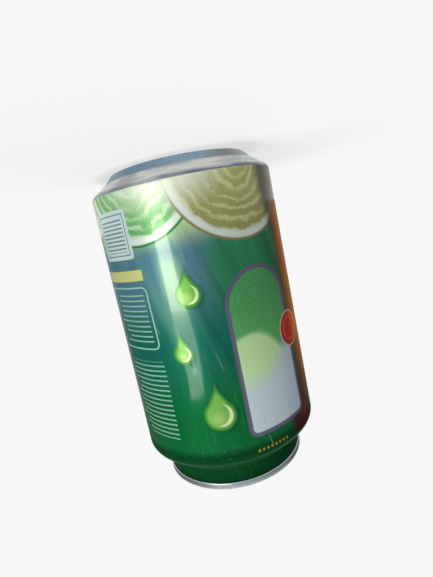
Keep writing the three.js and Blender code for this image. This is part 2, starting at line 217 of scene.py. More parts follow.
# The print, in millimetres: around the can from the middle of its -Y side, and up
PRINT_EDGE = 7.5
PRINT_BLUR = 0.15
BARE_DOME_RADIUS = 23.0
EDGE_SOFTNESS = 0.12
PANEL_AROUND = -18
PANEL_HALF = 12
PANEL_LOW = 39
PANEL_HIGH = 94
PANEL_CORNER = 2.5
PANEL_BORDER = 1.5

# Pitches of the lines, and the dashes' and dots' rates per millimetre
RULE_PITCH = 1.75
LABEL_PITCH = 1.3
RIPPLE_RATE = 1.9
DOT_RATE = 5.2
DASH_RATE = 0.62

# Discs as (around, height, radius), drops with their reach too, then blocks as
# (around, height, half width, half height, corner)
BADGE = (-31, 64, 6.4)
DARK_DISC = (-30, 95.5, 7)
DARK_DISC_GLOW = (-32, 95, 2)
DROPS = ((5, 43, 4.2, 9), (11, 62, 3.4, 8), (3, 84, 5.4, 12))
LABEL = (29, 21, 8.5, 8, 1.2)
YELLOW_BAR = (30, 34.5, 11, 1.8, 0.4)
LINED_BOX = (30, 49, 11, 10.5, 2)
BOX_LINES = (30, 49, 9.4, 9, 0.5)
RULES = (30, 78, 11, 14, 0.5)
RULES_END = 43
BOX_LINES_END = 41
DASHES = (-13, 99.4, 6.2, 0.5, 0.25)
# Painted highlight: a pale soft glare by the base, given as a disc that is squeezed around
PAINTED_GLARE = (3.8, 4, 3)
PAINTED_GLARE_SQUEEZE = 0.6
PALE_BAND = (0.62, 0.7, 0.66)

# The lacquer's share on the wall, and what is taken off it at the neck and by the base
COAT_SHARE = 0.8
NECK_DULLNESS = 0.72
FOOT_DULLNESS = 0.4
COAT_IOR = 1.45
COAT_ROUGHNESS = 0.09
INK_SPECULAR = 0.02

# The studio, in metres and watts; the ground's colour as screen values
GROUND = (247, 247, 247)
FLOOR_RADIUS = 4
FLOOR_GREY = 0.7
SURROUND_RADIUS = 0.9
SURROUND_HEIGHT = 0.95
FILL_STRENGTH = 0.22
WARM_WHITE = (1, 0.95, 0.8)
WHITE = (1, 1, 1)

# Lamps as (name, azimuth from +X, elevation, distance, width, height, power, colour, seen in glosses)
LAMPS = (
    ("strip_low", -54, 4, 0.6, 0.18, 0.2, 1.42, WARM_WHITE, True),
    ("strip_high", -54, 18, 0.6, 0.18, 0.1, 0.26, WARM_WHITE, True),
    ("key", -42, 62, 0.9, 0.5, 0.5, 7, WHITE, False),
    ("back", 115, 45, 1.0, 0.8, 0.8, 7, WHITE, False),
)


def smooth(x, low, high):
    t = np.clip((np.asarray(x, float) - low) / (high - low), 0, 1)
    return t * t * (3 - 2 * t)


def fillet(before, corner, after, radius, steps):
    """The points of the arc that rounds a corner between its two neighbours."""
    before, corner, after = (np.array(p, float) for p in (before, corner, after))
    inward = (before - corner) / np.linalg.norm(before - corner)
    outward = (after - corner) / np.linalg.norm(after - corner)
    half = math.acos(np.clip(inward @ outward, -1, 1)) / 2
    room = FILLET_SHARE * min(np.linalg.norm(before - corner), np.linalg.norm(after - corner))
    reach = min(radius / math.tan(half), room)
    middle = (inward + outward) / np.linalg.norm(inward + outward)
    centre = corner + middle * reach / math.cos(half)
    first = corner + inward * reach - centre
    last = corner + outward * reach - centre
    turn = (math.pi - 2 * half) * np.sign(first[0] * last[1] - first[1] * last[0])
    angles = np.linspace(0, turn, steps + 1)
    cos, sin = np.cos(angles), np.sin(angles)
    return [centre + (first[0] * c - first[1] * s, first[0] * s + first[1] * c) for c, s in zip(cos, sin)]


def rounded(corners):
    """A path through corners given as (r, z) or (r, z, fillet radius, steps)."""
    path = []
    for i, corner in enumerate(corners):
        if len(corner) == 2:
            path.append(np.array(corner, float))
        else:
            path += fillet(corners[i - 1][:2], corner[:2], corners[i + 1][:2], corner[2], corner[3])
    return path


def offset(path, gauge, side):
    """The path moved sideways by gauge(point), to the left of its direction if side is 1."""
    moved = []
    for i, point in enumerate(path):
        normals = []
        for a, b in ((i - 1, i), (i, i + 1)):
            if a >= 0 and b < len(path):
                step = path[b] - path[a]
                normals.append(np.array((-step[1], step[0])) / np.linalg.norm(step))
        total = sum(normals)
        shifted = point + total * len(normals) / (total @ total) * gauge(point) * side
        if point[0] == 0:
            shifted[0] = 0
        moved.append(shifted)
    return moved


def press(points):
    """Moves points of the can, in millimetres, in by its dents, its small ding and its pressed rim."""
    radius = np.hypot(points[:, 0], points[:, 1])
    angle = np.degrees(np.arctan2(points[:, 1], points[:, 0]))
    height = points[:, 2]

    def apart(degrees):
        return (angle - degrees + 180) % 360 - 180

    inward = np.zeros(len(points))
    for degrees, level, depth, around, along in DENTS:
        across = BODY_RADIUS * np.radians(apart(degrees)) / around
        inward += depth * np.exp(-(across**2) - ((height - level) / along) ** 2)
    down = (height - DING_TIP) / DING_LENGTH
    half = np.clip(down, 0.05, 1) * DING_HALF_WIDTH
    across = np.abs(BODY_RADIUS * np.radians(apart(DING_ANGLE))) / half
    inward += DING_DEPTH * smooth(1 - across, 0, 1) * smooth(down, 0, 0.3) * smooth(1 - down, 0, 0.4)
    share = np.exp(-((apart(RIM_ANGLE) / RIM_SPREAD) ** 2))
    inward += RIM_DEPTH * share * smooth(height, *RIM_HEIGHTS) * smooth(radius, *RIM_RADII)
    scale = np.where(radius > 1, 1 - inward / np.maximum(radius, 1), 1)
    return np.column_stack([points[:, 0] * scale, points[:, 1] * scale, height])


def lathe(profile, segments=SEGMENTS):
    """Vertices and quads of a profile of (r, z) turned about the axis; a point on the axis is a pole."""
    angles = np.arange(segments) * 2 * math.pi / segments
    points, rings, faces = [], [], []
    for r, z in profile:
        first = len(points)
        if r < 1e-9:
            points.append((0, 0, z))
            rings.append([first] * segments)
        else:
            points += [(r * math.cos(a), r * math.sin(a), z) for a in angles]
            rings.append(list(range(first, first + segments)))
    for row, (low, high) in enumerate(zip(rings, rings[1:])):
        for k in range(segments):
            n = (k + 1) % segments
            corners = list(dict.fromkeys((low[k], low[n], high[n], high[k])))
            faces.append((corners, row))
    return np.array(points, float), faces


def mesh_object(name, points, faces, materials, pick=None):
    """An object with faces given as (corners, row); pick(row) gives a face's material."""
    mesh = bpy.data.meshes.new(name)
    mesh.from_pydata([tuple(p) for p in points * MM], [], [f[0] for f in faces])
    for polygon, face in zip(mesh.polygons, faces):
        polygon.material_index = pick(face[1]) if pick else 0
        polygon.use_smooth = True
    for material in materials:
        mesh.materials.append(material)
    edit = bmesh.new()
    edit.from_mesh(mesh)
    bmesh.ops.remove_doubles(edit, verts=edit.verts, dist=WELD_DISTANCE * MM)
    bmesh.ops.recalc_face_normals(edit, faces=edit.faces)
    for edge in edit.edges:
        if len(edge.link_faces) == 2 and edge.calc_face_angle(0) > SHARP_ANGLE:
            edge.smooth = False
    edit.to_mesh(mesh)
    edit.free()
    piece = bpy.data.objects.new(name, mesh)
    bpy.context.scene.collection.objects.link(piece)
    return piece


def dome_height(radius):
    return DOME_HEIGHT - DOME_SPHERE + math.sqrt(DOME_SPHERE**2 - radius**2)


def body_profile():
    """Where the wall ends under the shoulder, and the outer skin from the dome's middle to the hook."""
    dome = [(r, dome_height(r)) for r in np.linspace(0, DOME_EDGE_RADIUS, 24)]
    half = math.tan(SHOULDER_ANGLE / 2)
    neck_corner = SEAM_FOOT - NECK_LENGTH - NECK_ARC * half
    wall_corner = neck_corner - (BODY_RADIUS - NECK_RADIUS) / math.tan(SHOULDER_ANGLE)
    wall_top = wall_corner - SHOULDER_ARC * half
    rows = np.linspace(CHAMFER_HEIGHT + CHAMFER_FILLET, wall_top - WALL_ROW_MARGIN, WALL_ROWS)
    base = [
        (*dome[-1], DOME_EDGE_FILLET, 8),
        (NOSE_INNER_RADIUS, dome[-1][1] - DOME_EDGE_DROP),
        (NOSE_INNER_RADIUS, 0, NOSE_INNER_FILLET, 8),
        (NOSE_OUTER_RADIUS, 0, NOSE_OUTER_FILLET, 8),
        (RING_RADIUS, RING_HEIGHT, RING_FILLET, 6),
        (BODY_RADIUS, CHAMFER_HEIGHT, CHAMFER_FILLET, 10),
    ]
    top = [
        (BODY_RADIUS, wall_corner, SHOULDER_ARC, 16),
        (NECK_RADIUS, neck_corner, NECK_ARC, 12),
        (NECK_RADIUS, SEAM_FOOT - HOOK_START),
        (NECK_RADIUS, FLANGE_UNDERSIDE, FLANGE_FILLET, 3),
        (BODY_HOOK_RADIUS, FLANGE_UNDERSIDE, FLANGE_FILLET, 3),
        (BODY_HOOK_RADIUS, SEAM_FOOT + END_GAUGE + HOOK_END_GAP),
    ]
    return wall_top, rounded(dome[:-1] + base + [(BODY_RADIUS, z) for z in rows] + top)


def make_body(print_material, inside_material):
    wall_top, skin = body_profile()

    def gauge(point):
        lower = BASE_GAUGE + (WALL_GAUGE - BASE_GAUGE) * smooth(point[1], BASE_GAUGE_TOP, WALL_GAUGE_BOTTOM)
        return lower + (NECK_GAUGE - lower) * smooth(point[1], wall_top - WALL_GAUGE_DROP, wall_top)

    points, faces = lathe(skin + offset(skin, gauge, 1)[::-1])
    materials = [print_material, inside_material]
    body = mesh_object("printed_body", press(points), faces, materials, lambda row: int(row >= len(skin)))
    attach(body, "root")
    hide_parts("can_body")


def circle(centre_y, radius, count):
    angles = np.arange(count) * 2 * math.pi / count
    return np.column_stack([radius * np.cos(angles), centre_y + radius * np.sin(angles)])


def oval(centre_y, width, length, count):
    return (circle(0, 0.5, count) * (width, length)) + (0, centre_y)


def bezier(points, count):
    t = np.linspace(0, 1, count, endpoint=False)[:, None]
    a, b, c, d = (np.array(p, float) for p in points)
    return a * (1 - t) ** 3 + 3 * b * t * (1 - t) ** 2 + 3 * c * t**2 * (1 - t) + d * t**3


def within(points, loop):
    """Which points lie inside a closed loop."""
    hits = np.zeros(len(points), int)
    for (x1, y1), (x2, y2) in zip(loop, np.roll(loop, -1, 0)):
        crosses = (y1 > points[:, 1]) != (y2 > points[:, 1])
        rise = (y2 - y1) or 1
        hits += crosses & (points[:, 0] < x1 + (points[:, 1] - y1) / rise * (x2 - x1))
    return hits % 2 == 1


def distance_to(points, loop):
    """How far points are from a closed loop's line."""
    best = np.full(len(points), np.inf)
    for a, b in zip(loop, np.roll(loop, -1, 0)):
        along = b - a
        share = np.clip((points - a) @ along / max(along @ along, 1e-12), 0, 1)
        best = np.minimum(best, np.hypot(*(points - a - share[:, None] * along).T))
    return best


def ringed(loop, steps):
    """Copies of a closed loop moved inwards by each step, or outwards where the step is less than 0."""
    ahead = np.roll(loop, -1, 0)
    along = ahead - np.roll(loop, 1, 0)
    turn = np.sign((loop[:, 0] * ahead[:, 1] - loop[:, 1] * ahead[:, 0]).sum())
    inward = turn * np.column_stack([-along[:, 1], along[:, 0]]) / np.hypot(*along.T)[:, None]
    return np.vstack([loop + inward * step for step in steps])


def plate(outer, holes, spacing, rings=()):
    """A flat mesh between an outline and its holes: points, triangles, and the loops as point numbers.

    Each of rings is (loop, steps): closer rows of points along that loop, over the reach of its steps.
    """

    def clear(some, room):
        free = within(some, outer) & (distance_to(some, outer) > room)
        for hole in holes:
            free &= ~within(some, hole) & (distance_to(some, hole) > room)
        return free

    low, high = outer.min(0), outer.max(0)
    xs = np.arange(low[0], high[0], spacing)
    ys = np.arange(low[1], high[1], spacing * math.sqrt(3) / 2)
    grid = np.array([(x + spacing / 2 * (row % 2), y) for row, y in enumerate(ys) for x in xs])
    grid = grid[clear(grid, spacing * 0.6)]
    rows = [np.empty((0, 2))]
    for loop, steps in rings:
        signed = distance_to(grid, loop) * np.where(within(grid, loop), 1, -1)
        grid = grid[(signed < min(steps) - spacing * 0.4) | (signed > max(steps) + spacing * 0.4)]
        row = ringed(loop, steps)
        row = row[clear(row, RING_CLEARANCE)]
        own = distance_to(row, loop) / np.abs(steps).max()
        for other, other_steps in rings:
            if other is not loop:
                beside = distance_to(row, other) / np.abs(other_steps).max() > own
                row, own = row[beside], own[beside]
        rows.append(row)
    loops, start = [], 0
    for loop in (outer, *holes):
        loops.append(list(range(start, start + len(loop))))
        start += len(loop)
    points = np.vstack([outer, *holes, *rows, grid])
    edges = [(a, b) for loop in loops for a, b in zip(loop, loop[1:] + loop[:1])]
    made = delaunay_2d_cdt([Vector(p) for p in points], edges, [], 0, 1e-7, False)
    triangles = np.array([f for f in made[2] if len(f) == 3])
    middles = points[triangles].mean(1)
    inner = within(middles, outer)
    for hole in holes:
        inner &= ~within(middles, hole)
    return points, triangles[inner], loops


def two_skins(points, triangles, top, bottom, walled):
    """A sheet's upper and lower skins over a plate, with walls along some of its edges."""
    count = len(points)
    solid = np.vstack([np.column_stack([points, top]), np.column_stack([points, bottom])])
    faces = [(list(t), 0) for t in triangles] + [(list(t[::-1] + count), 1) for t in triangles]
    for a, b in walled:
        faces.append(([a, b, b + count, a + count], 2))
    return solid, faces


def loop_edges(loop):
    return list(zip(loop, loop[1:] + loop[:1]))


def joined(parts):
    """Several (points, faces) as one."""
    points, faces, start = [], [], 0
    for some_points, some_faces in parts:
        points.append(some_points)
        faces += [([int(v) + start for v in corners], row) for corners, row in some_faces]
        start += len(some_points)
    return np.vstack(points), faces


def on_can(points):
    """Points of the end's own frame, turned to their place on the can and pressed with its rim."""
    cos, sin = math.cos(END_TURN), math.sin(END_TURN)
    x, y = points[:, 0] * cos - points[:, 1] * sin, points[:, 0] * sin + points[:, 1] * cos
    return press(np.column_stack([x, y, points[:, 2]]))


def deboss_distance(points):
    """Signed distance to the deboss's outline, which wraps an arc at the mouth and one at the heel."""
    (low, wide), (high, narrow) = DEBOSS_MOUTH_ARC, DEBOSS_HEEL_ARC
    lean = (wide - narrow) / (high - low)
    upright = math.sqrt(1 - lean**2)
    x, y = np.abs(points[:, 0]), points[:, 1] - low
    side = y * upright - x * lean
    past_heel = side > (high - low) * upright
    beside = x * upright + y * lean - wide
    at_heel = np.hypot(x, y - (high - low)) - narrow
    at_mouth = np.hypot(x, y) - wide
    return np.where(side < 0, at_mouth, np.where(past_heel, at_heel, beside))


def deboss_outline():
    """The line where that distance is 0."""
    (low, wide), (high, narrow) = DEBOSS_MOUTH_ARC, DEBOSS_HEEL_ARC
    lean = math.asin((wide - narrow) / (high - low))
    mouth = np.linspace(math.pi - lean, 2 * math.pi + lean, 130)
    heel = np.linspace(lean, math.pi - lean, 80)
    mouth_arc = np.column_stack([wide * np.cos(mouth), low + wide * np.sin(mouth)])
    heel_arc = np.column_stack([narrow * np.cos(heel), high + narrow * np.sin(heel)])
    share = np.linspace(0, 1, 60)[1:-1, None]
    sides = [a[-1] * (1 - share) + b[0] * share for a, b in ((mouth_arc, heel_arc), (heel_arc, mouth_arc))]
    return np.vstack([mouth_arc, sides[0], heel_arc, sides[1]])


def panel_height(points):
    deboss = DEBOSS_DEPTH * smooth(-deboss_distance(points), 0, DEBOSS_EDGE)
    well = WELL_RADIUS - np.hypot(points[:, 0], points[:, 1] - WELL_CENTRE)
    return PANEL_TOP - np.maximum(deboss, WELL_DEPTH * smooth(well, 0, WELL_EDGE))


def hinge_frame(points):
    """Plan points as (how far past the hinge line on the mouth's side, place along it)."""
    cos, sin = math.cos(-HINGE_TURN), math.sin(-HINGE_TURN)
    x, y = points[:, 0], points[:, 1] - MOUTH_Y
    return np.column_stack([x * cos - y * sin + HINGE_REACH, x * sin + y * cos])


def from_hinge_frame(points):
    cos, sin = math.cos(HINGE_TURN), math.sin(HINGE_TURN)
    x, y = points[:, 0] - HINGE_REACH, points[:, 1]
    return np.column_stack([x * cos - y * sin, x * sin + y * cos + MOUTH_Y, *points[:, 2:].T])


def mouth_outline():
    """The mouth's edge from one end of the hinge line to the other, then the hinge line, in its frame."""
    ring = hinge_frame(oval(MOUTH_Y, MOUTH_WIDTH, MOUTH_LENGTH, 1440))
    ring = np.roll(ring, -int(np.argmax((ring[:, 0] <= 0) & (np.roll(ring[:, 0], -1) > 0))) - 1, 0)
    arc = ring[ring[:, 0] > 0][::12]
    hinge = np.linspace(arc[-1] * (0, 1), arc[0] * (0, 1), 48)
    return arc, hinge


def end_rim():
    """The countersink, the chuck wall and the outer turns of the double seam."""
    countersink = CAN_HEIGHT - COUNTERSINK_DEPTH + END_GAUGE
    skin = rounded(
        [
            (PLATE_RADIUS, PANEL_TOP),
            (PANEL_RADIUS, PANEL_TOP, PANEL_FILLET, 6),
            (PANEL_RADIUS, countersink, COUNTERSINK_FILLET, 6),
            (CHUCK_WALL_FOOT, countersink, COUNTERSINK_FILLET, 6),
            (CHUCK_RADIUS, SEAM_FOOT - END_GAUGE, CHUCK_FILLET, 4),
            (CHUCK_RADIUS, CAN_HEIGHT, SEAM_TOP_FILLET, 6),
            (SEAM_RADIUS, CAN_HEIGHT, SEAM_TOP_FILLET, 8),
            (SEAM_RADIUS, SEAM_FOOT, SEAM_FOOT_FILLET, 5),
            (COVER_HOOK_RADIUS, SEAM_FOOT, SEAM_FOOT_FILLET, 5),
            (COVER_HOOK_RADIUS, FLANGE_UNDERSIDE - COVER_HOOK_GAP),
        ]
    )
    return lathe(skin + offset(skin, lambda point: END_GAUGE, -1)[::-1])


def free_edges(loop, arc):
    """A loop's edges without those of the hinge, which follows the arc's points in it."""
    hinge = set(loop[len(arc) :])
    return [edge for edge in loop_edges(loop) if not set(edge) <= hinge]


def centre_panel(arc, hinge):
    """The flat middle of the end, with its pressed field, finger well, mouth and rivet hole."""
    hole = from_hinge_frame(np.vstack([arc, hinge]))
    rivet_hole = circle(0, RIVET_STEM_RADIUS + RIVET_FOOT, RIVET_SEGMENTS)
    rings = [
        (deboss_outline(), np.linspace(0, DEBOSS_EDGE, 7)),
        (circle(WELL_CENTRE, WELL_RADIUS, 120), np.linspace(0, WELL_EDGE, 10)),
    ]
    outer = circle(0, PLATE_RADIUS, SEGMENTS)
    points, triangles, loops = plate(outer, [hole, rivet_hole], END_SPACING, rings)
    top = panel_height(points)
    return two_skins(points, triangles, top, top - END_GAUGE, free_edges(loops[1], arc))


def torn_panel(arc, hinge):
    """The panel torn out of the mouth, with its bead, bent down at the hinge line."""
    edge = np.vstack([arc, hinge])
    bend = BEND_RADIUS * FLAP_ANGLE
    flat, triangles, loops = plate(edge, [], END_SPACING, [(edge, np.linspace(0, bend, 10)[1:])])
    bead = 1 - np.abs(distance_to(flat, edge) - BEAD_INSET) / (BEAD_WIDTH / 2)
    bead = BEAD_HEIGHT * smooth(bead, 0, 1) * smooth(flat[:, 0], *BEAD_START)
    skins = bead + END_GAUGE / 2, bead - END_GAUGE / 2
    flap, faces = two_skins(flat, triangles, *skins, free_edges(loops[0], arc))
    turn = np.clip(flap[:, 0] / BEND_RADIUS, 0, FLAP_ANGLE)
    past = np.maximum(flap[:, 0] - bend, 0)
    reach = BEND_RADIUS * np.sin(turn) + past * np.cos(turn) + flap[:, 2] * np.sin(turn)
    fall = BEND_RADIUS * (1 - np.cos(turn)) + past * np.sin(turn) - flap[:, 2] * np.cos(turn)
    height = DEBOSS_TOP - END_GAUGE / 2 - fall
    return from_hinge_frame(np.column_stack([reach, flap[:, 1], height])), faces


def hollow_rivet():
    """The rivet, pushed up out of the panel: its outside, then its hollow."""
    head = TAB_BOTTOM + TAB_WEB + RIVET_CLEARANCE
    crown = head + RIVET_HEAD_THICKNESS
    dimple = crown - DIMPLE_DEPTH
    bore = RIVET_STEM_RADIUS - END_GAUGE
    outside = rounded(
        [
            (RIVET_STEM_RADIUS + RIVET_FOOT, DEBOSS_TOP),
            (RIVET_STEM_RADIUS, DEBOSS_TOP + RIVET_FOOT),
            (RIVET_STEM_RADIUS, head),
            (RIVET_HEAD_RADIUS, head, 0.15, 4),
            (RIVET_HEAD_RADIUS, crown, 0.3, 6),
            (DIMPLE_RADIUS, crown),
            (DIMPLE_FLOOR_RADIUS, dimple, 0.1, 3),
            (0, dimple),
        ]
    )
    hollow = rounded(
        [
            (0, dimple - END_GAUGE),
            (bore, dimple - END_GAUGE, 0.25, 4),
            (bore, DEBOSS_TOP - END_GAUGE, 0.15, 4),
            (RIVET_STEM_RADIUS + RIVET_FOOT, DEBOSS_TOP - END_GAUGE),
        ]
    )
    return joined([lathe(outside, RIVET_SEGMENTS), lathe(hollow, RIVET_SEGMENTS)])


def make_end(material):
    arc, hinge = mouth_outline()
    points, faces = joined([end_rim(), centre_panel(arc, hinge), torn_panel(arc, hinge), hollow_rivet()])
    end = mesh_object("stamped_end", on_can(points), faces, [material])
    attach(end, "root")
    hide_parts("can_end")


def tab_outline():
    """The tab's edge: nose, waist, flare and heel, on the right and then on the left."""
    waist, half = TAB_HALF_WAIST, TAB_HALF_WIDTH
    nose_ease, heel_ease = waist * TAB_END_ROUNDNESS, half * TAB_END_ROUNDNESS
    nose_corner, heel_corner = TAB_NOSE + TAB_NOSE_CORNER, TAB_HEEL - TAB_HEEL_CORNER
    right = [
        ((0, TAB_NOSE), (nose_ease, TAB_NOSE), (waist, nose_corner), (waist, 0)),
        ((waist, 0), (waist, TAB_FLARE_START), (half, TAB_FLARE_END), (half, TAB_WIDEST)),
        ((half, TAB_WIDEST), (half, heel_corner), (heel_ease, TAB_HEEL), (0, TAB_HEEL)),
    ]
    left = [tuple((-x, y) for x, y in curve[::-1]) for curve in right[::-1]]
    return np.vstack([bezier(curve, 36) for curve in right + left])


def tongue_slot():
    """The slot with round ends that frees the tongue all round but at the nose."""
    start, finish = -math.pi / 2 + TAB_SLOT_OPEN_HALF, math.pi * 3 / 2 - TAB_SLOT_OPEN_HALF
    sweep = np.linspace(start, finish, 60)
    ray = np.column_stack([np.cos(sweep), np.sin(sweep)])
    half = TAB_SLOT_WIDTH / 2

    def slot_end(angle, side):
        out = np.array((math.cos(angle), math.sin(angle)))
        on = np.array((-out[1], out[0])) * side
        ends = np.linspace(0, math.pi, 8)[1:-1, None]
        return out * (TAB_SLOT_RADIUS + half * np.cos(ends) * side) + on * half * np.sin(ends)

    outer_ray, inner_ray = ray * (TAB_SLOT_RADIUS + half), ray[::-1] * (TAB_SLOT_RADIUS - half)
    return np.vstack([outer_ray, slot_end(finish, 1), inner_ray, slot_end(start, -1)])


def curl(distance, width):
    """A curled edge's height over the underside or, past its middle, over the web; and how far across."""
    across = np.clip(distance / width, 0, 1)
    bulge = np.sqrt(np.clip(1 - (2 * across - 1) ** 2, 0, 1))
    falling = (TAB_RIM_HEIGHT - TAB_WEB) * smooth(1 - across, 0, 0.5)
    return np.where(across < 0.5, TAB_RIM_HEIGHT / 2 * (1 + bulge), falling), across


def make_tab(material):
    outline_loop = tab_outline()
    hole = oval(TAB_HOLE_CENTRE, TAB_HOLE_WIDTH, TAB_HOLE_LENGTH, 96)
    rivet_hole = circle(0, RIVET_STEM_RADIUS + RIVET_CLEARANCE, RIVET_SEGMENTS)
    rim_rows = np.array(TAB_RIM_ROWS) * TAB_RIM_WIDTH
    hole_rows = np.array(TAB_HOLE_ROWS) * -TAB_HOLE_RIM
    rings = [(outline_loop, rim_rows), (hole, hole_rows)]
    points, triangles, loops = plate(outline_loop, [hole, tongue_slot(), rivet_hole], TAB_SPACING, rings)

    rim, from_edge = curl(distance_to(points, outline_loop), TAB_RIM_WIDTH)
    hole_rim, from_hole = curl(distance_to(points, hole), TAB_HOLE_RIM)
    outer_side, hole_side = from_edge < 0.5, from_hole < 0.5
    over_rim = np.where(outer_side, rim, rim + TAB_WEB)
    over_hole = np.where(hole_side, hole_rim, hole_rim + TAB_WEB)
    both = outer_side & hole_side
    top = TAB_BOTTOM + np.where(both, np.minimum(rim, hole_rim), np.maximum(over_rim, over_hole))
    nearest = np.clip(np.minimum(from_edge, from_hole) * 2, 0, 1)
    bottom = TAB_BOTTOM + TAB_RIM_HEIGHT / 2 * (1 - np.sqrt(np.clip(1 - (1 - nearest) ** 2, 0, 1)))
    walled = loop_edges(loops[2]) + loop_edges(loops[3])
    solid, faces = two_skins(points, triangles, top, bottom, walled)
    tab = mesh_object("stay_on_tab", on_can(solid), faces, [material])
    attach(tab, "root")
    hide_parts("pull_tab")


def set_inputs(tree, node, inputs):
    """Sets a node's inputs by name or number; a Field, a Paint or a socket is linked."""
    for key, value in inputs.items():
        source = getattr(value, "socket", value)
        if isinstance(source, bpy.types.NodeSocket):
            tree.links.new(source, node.inputs[key])
        else:
            node.inputs[key].default_value = source


class Field:
    """A number worked out by shader nodes, written with ordinary arithmetic."""

    def __init__(self, tree, socket):
        self.tree = tree
        self.socket = socket

    def math(self, operation, *others):
        node = self.tree.nodes.new("ShaderNodeMath")
        node.operation = operation
        set_inputs(self.tree, node, dict(enumerate((self, *others))))
        return Field(self.tree, node.outputs[0])

    def __add__(self, other):
        return self.math("ADD", other)

    def __sub__(self, other):
        return self.math("SUBTRACT", other)

    def __mul__(self, other):
        return self.math("MULTIPLY", other)

    def inverse(self):
        return (self * -1) + 1

    def abs(self):
        return self.math("ABSOLUTE")

    def least(self, other):
        return self.math("MINIMUM", other)

    def most(self, other):
        return self.math("MAXIMUM", other)

    def square(self):
        return self * self

    def root(self):
        return self.math("SQRT")

    def wrap(self, low, high):
        return self.math("WRAP", high, low)

    def ramp(self, low, high):
        """0 below low and 1 above high, with a smooth step between; low may be the greater."""
        node = self.tree.nodes.new("ShaderNodeMapRange")
        node.interpolation_type = "SMOOTHSTEP"
        set_inputs(self.tree, node, {"Value": self, "From Min": low, "From Max": high})
        return Field(self.tree, node.outputs["Result"])


class Paint:
    """A colour built up in a shader tree, layer on layer."""

    def __init__(self, tree, colour):
        self.tree = tree
        node = tree.nodes.new("ShaderNodeRGB")
        node.outputs[0].default_value = (*colour, 1)
        self.socket = node.outputs[0]

    def over(self, colour, mask):
        """Lays a colour, or another Paint, over this one where mask is 1."""
        node = self.tree.nodes.new("ShaderNodeMix")
        node.data_type = "RGBA"
        layer = colour if isinstance(colour, Paint) else (*colour, 1)
        set_inputs(self.tree, node, {"A": self, "B": layer, "Factor": mask})
        self.socket = node.outputs["Result"]


def srgb(*screen):
    """A colour given as 0-255 screen values, as linear ones."""
    shares = [value / 255 for value in screen]
    return tuple(c / 12.92 if c <= 0.04045 else ((c + 0.055) / 1.055) ** 2.4 for c in shares)


def new_material(name):
    material = bpy.data.materials.new(name)
    material.use_nodes = True
    tree = material.node_tree
    return material, tree, tree.nodes["Principled BSDF"]


def place_fields(tree):
    """x, y, z in millimetres in the can's own frame, and the raw coordinate."""
    coordinate = tree.nodes.new("ShaderNodeTexCoord").outputs["Object"]
    split = tree.nodes.new("ShaderNodeSeparateXYZ")
    tree.links.new(coordinate, split.inputs[0])
    return *(Field(tree, split.outputs[k]) * (1 / MM) for k in range(3)), coordinate


def noise(tree, place, detail=2, roughness=0.5, scale=1):
    """Noise at a place, which is a coordinate, or three fields or numbers in a tuple."""
    if isinstance(place, tuple):
        vector = tree.nodes.new("ShaderNodeCombineXYZ")
        set_inputs(tree, vector, dict(enumerate(place)))
        place = vector.outputs[0]
    node = tree.nodes.new("ShaderNodeTexNoise")
    inputs = {"Vector": place, "Scale": scale, "Detail": detail, "Roughness": roughness}
    set_inputs(tree, node, inputs)
    return Field(tree, node.outputs["Fac"])


def bump(tree, height, strength, distance):
    node = tree.nodes.new("ShaderNodeBump")
    set_inputs(tree, node, {"Height": height, "Strength": strength, "Distance": distance})
    return node.outputs["Normal"]


def disc(around, z, centre_around, centre_z, radius):
    """Distance to a disc's edge, less than 0 inside, as all the shapes below."""
    return ((around - centre_around).square() + (z - centre_z).square()).root() - radius


def block(around, z, centre_around, centre_z, half_width, half_height, corner):
    """Distance to the edge of a rectangle with round corners."""
    across = (around - centre_around).abs() - (half_width - corner)
    along = (z - centre_z).abs() - (half_height - corner)
    outside = (across.most(0).square() + along.most(0).square()).root()
    return outside + across.most(along).least(0) - corner


def drop(around, z, centre_around, centre_z, radius, reach):
    """Distance to the edge of a drop: a disc drawn out to a point towards the base."""
    along = (z - centre_z) * -1
    narrow = along.ramp(-radius * 0.2, reach).inverse()
    across = (around - centre_around).abs() - narrow * radius
    ends = (along - reach).most(along * -1 - radius)
    head = disc(around, z, centre_around, centre_z, radius)
    return across.most(ends).most(along * -1).least(head)


def inside(shape, soft=EDGE_SOFTNESS):
    return shape.ramp(soft, -soft)


def outline(shape, width):
    return inside(shape.abs() - width / 2)


def rippled_disc(paint, tree, around, z, place, fill, glow, rim):
    """A pale disc of uneven round ripples and specks, with a white band and a darker rim."""
    centre_around, centre_z, radius = place
    edge = disc(around, z, centre_around, centre_z, radius)
    paint.over(rim, inside(edge, 0.25))
    paint.over(PALE_BAND, inside(edge + 0.8, 0.35))
    sway = noise(tree, (around * 0.11, z * 0.11, radius), 3, 0.6)
    inner = Paint(tree, fill)
    inner.over(rim, edge.ramp(-radius * 0.9, 0) * 0.35)
    ripples = ((edge + sway * 7) * RIPPLE_RATE).math("SINE").ramp(-0.3, 1)
    inner.over(glow, ripples * sway.ramp(0.25, 0.6) * 0.75)
    specks = noise(tree, (around * 1.5, z * 1.5, radius), 2, 0.7)
    inner.over(glow, specks.ramp(0.56, 0.7) * 0.5)
    inner.over(rim, specks.ramp(0.42, 0.3) * 0.4)
    paint.over(inner, inside(edge + 2.4 + sway * 1.2, 0.7))


